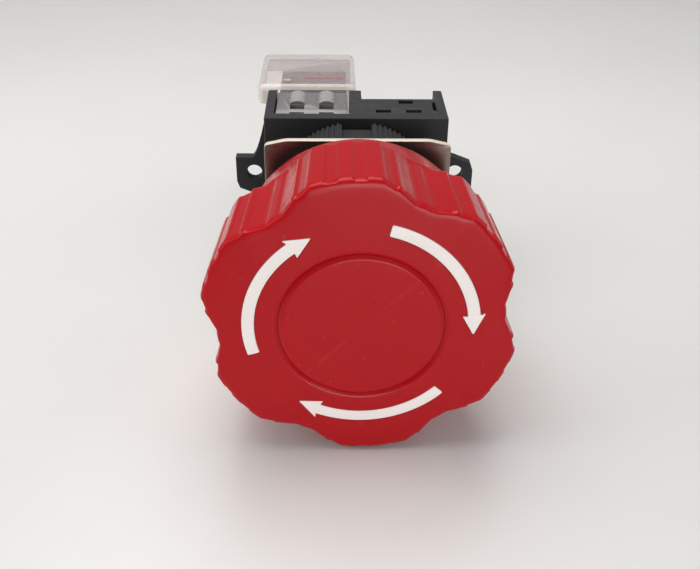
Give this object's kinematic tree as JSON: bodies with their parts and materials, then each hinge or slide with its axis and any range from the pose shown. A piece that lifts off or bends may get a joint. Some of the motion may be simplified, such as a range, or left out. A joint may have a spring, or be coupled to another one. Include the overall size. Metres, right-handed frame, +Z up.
{
  "type": "emergency stop button",
  "caption": "Panel-mounted red mushroom stop button with turn-to-release head, ribbed mounting nut, square lock plate and a rear contact block on a black base.",
  "frame": {"origin": "middle of the panel hole, on the panel's front face, where the front gasket seats", "axes": "-Y out of the panel towards the user, +Y to the contact block behind the panel, +Z up, +X to the user's right"},
  "size_m": [0.0458, 0.078, 0.0466],
  "materials": {
    "head_red": "gloss moulded red, slightly worn",
    "arrow_white": "white print ink",
    "black_plastic": "satin black moulded nylon",
    "white_plastic": "natural acetal",
    "red_plastic": "red moulded plastic",
    "milky_plastic": "milky translucent polycarbonate",
    "clear_plastic": "clear polycarbonate",
    "rubber": "black rubber",
    "plated_steel": "nickel plated steel",
    "spring_steel": "bright spring wire",
    "brass": "bright brass"
  },
  "bodies": {
    "housing": {"threaded_barrel": "black_plastic", "front_gasket": "rubber", "stem_seal": "rubber", "latch_guide": "white_plastic", "lock_plate": "plated_steel", "contact_base": "black_plastic", "block_housing": "milky_plastic", "terminal_cover": "clear_plastic", "upper_terminal": "brass", "lower_terminal": "brass", "upper_saddle_washer": "plated_steel", "lower_saddle_washer": "plated_steel", "return_spring": "spring_steel", "latch_spring_top": "spring_steel", "latch_spring_bottom": "spring_steel", "plunger_spring": "spring_steel"},
    "pusher": {"pusher_plate": "black_plastic", "retaining_clip": "spring_steel"},
    "head": {"head_cap": "head_red", "centre_disc": "head_red", "arrow_inlay_1": "arrow_white", "arrow_inlay_2": "arrow_white", "arrow_inlay_3": "arrow_white", "cap_screw": "plated_steel", "push_stem": "white_plastic"},
    "latch_top": {"latch_pin_top": "plated_steel"},
    "latch_bottom": {"latch_pin_bottom": "plated_steel"},
    "plunger": {"contact_plunger": "red_plastic", "contact_bridge": "brass", "bridge_spring": "spring_steel"},
    "nut": {"mounting_nut": "black_plastic"},
    "upper_screw": {"upper_terminal_screw": "plated_steel"},
    "lower_screw": {"lower_terminal_screw": "plated_steel"}
  },
  "joints": [
    {"name": "push", "type": "slide", "parent": "housing", "child": "pusher", "axis": [0, 1, 0], "range_m": [0, 0.004], "stiffness_N_per_m": 3000, "springref_m": -0.003, "deforming": ["return_spring"]},
    {"name": "twist_to_release", "type": "hinge", "parent": "pusher", "child": "head", "pos_m": [0, 0, 0], "axis": [0, 1, 0], "range_deg": [0, 45], "stiffness_Nm_per_rad": 0.05, "springref_deg": -11.46},
    {"name": "latch_top_slide", "type": "slide", "parent": "housing", "child": "latch_top", "axis": [0, 0, 1], "range_m": [0, 0.00061], "deforming": ["latch_spring_top"]},
    {"name": "latch_bottom_slide", "type": "slide", "parent": "housing", "child": "latch_bottom", "axis": [0, 0, -1], "range_m": [0, 0.00061], "deforming": ["latch_spring_bottom"]},
    {"name": "plunger_slide", "type": "slide", "parent": "housing", "child": "plunger", "axis": [0, 1, 0], "range_m": [0, 0.004], "deforming": ["plunger_spring"]},
    {"name": "nut_turn", "type": "hinge", "parent": "housing", "child": "nut", "pos_m": [0, 0.008, 0], "axis": [0, 1, 0], "continuous": true},
    {"name": "upper_screw_turn", "type": "hinge", "parent": "housing", "child": "upper_screw", "pos_m": [-0.00795, 0.03, 0.0095], "axis": [0, 1, 0], "continuous": true},
    {"name": "lower_screw_turn", "type": "hinge", "parent": "housing", "child": "lower_screw", "pos_m": [-0.00795, 0.03, -0.0095], "axis": [0, 1, 0], "continuous": true}
  ],
  "couplings": [
    {"joint": "latch_top_slide", "follows": "twist_to_release", "m_per_rad": 0.0007639},
    {"joint": "latch_bottom_slide", "follows": "twist_to_release", "m_per_rad": 0.0007639},
    {"joint": "plunger_slide", "follows": "push", "ratio": 1}
  ]
}
